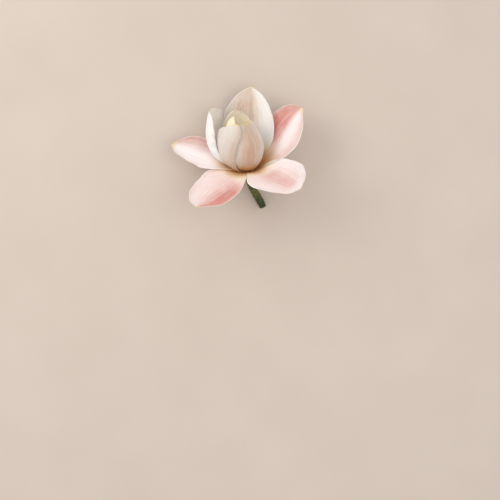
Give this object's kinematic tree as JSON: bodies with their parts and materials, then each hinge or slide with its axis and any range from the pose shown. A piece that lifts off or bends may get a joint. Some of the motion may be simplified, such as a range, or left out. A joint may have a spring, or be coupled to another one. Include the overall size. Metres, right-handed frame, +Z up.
{
  "type": "lotus flower",
  "caption": "Lotus flower cut with a short stem and lying on its back: spread pink-white petals, two upright petals and a half-closed bud with yellow stamens inside.",
  "frame": {"origin": "bottom centre of the lying flower's box, on the surface it rests on", "axes": "+Z up; the flower lies on its back, with its stem towards -Y and the tips of its upright petals towards +Y; +X across the spread petals, to the right of someone who looks along +Y"},
  "size_m": [0.1564, 0.1454, 0.1022],
  "materials": {
    "petal_pink": "soft satin petal skin, pink shading to white",
    "petal_white": "soft satin petal skin, creamy white",
    "petal_cream": "soft satin petal skin, cream yellow",
    "stem_green": "waxy green skin with small prickles",
    "pod_yellow": "waxy yellow-green skin",
    "stamen_gold": "matt pollen-covered gold"
  },
  "bodies": {
    "root": {"stem": "stem_green", "receptacle": "pod_yellow", "petal_outer_left": "petal_pink", "petal_outer_front_left": "petal_pink", "petal_outer_front_right": "petal_pink", "petal_outer_right": "petal_pink", "petal_outer_back": "petal_pink", "petal_upright_back": "petal_white", "petal_upright_left": "petal_white", "petal_bud_left": "petal_white", "petal_bud_right": "petal_white", "petal_bud_back": "petal_white", "petal_bud_inner_left": "petal_cream", "petal_bud_inner_right": "petal_cream", "stamen_01": "stamen_gold", "stamen_02": "stamen_gold", "stamen_03": "stamen_gold", "stamen_04": "stamen_gold", "stamen_05": "stamen_gold", "stamen_06": "stamen_gold", "stamen_07": "stamen_gold", "stamen_08": "stamen_gold", "stamen_09": "stamen_gold", "stamen_10": "stamen_gold", "stamen_11": "stamen_gold", "stamen_12": "stamen_gold", "stamen_13": "stamen_gold", "stamen_14": "stamen_gold", "stamen_15": "stamen_gold", "stamen_16": "stamen_gold", "stamen_17": "stamen_gold", "stamen_18": "stamen_gold", "stamen_19": "stamen_gold", "stamen_20": "stamen_gold"}
  },
  "joints": []
}
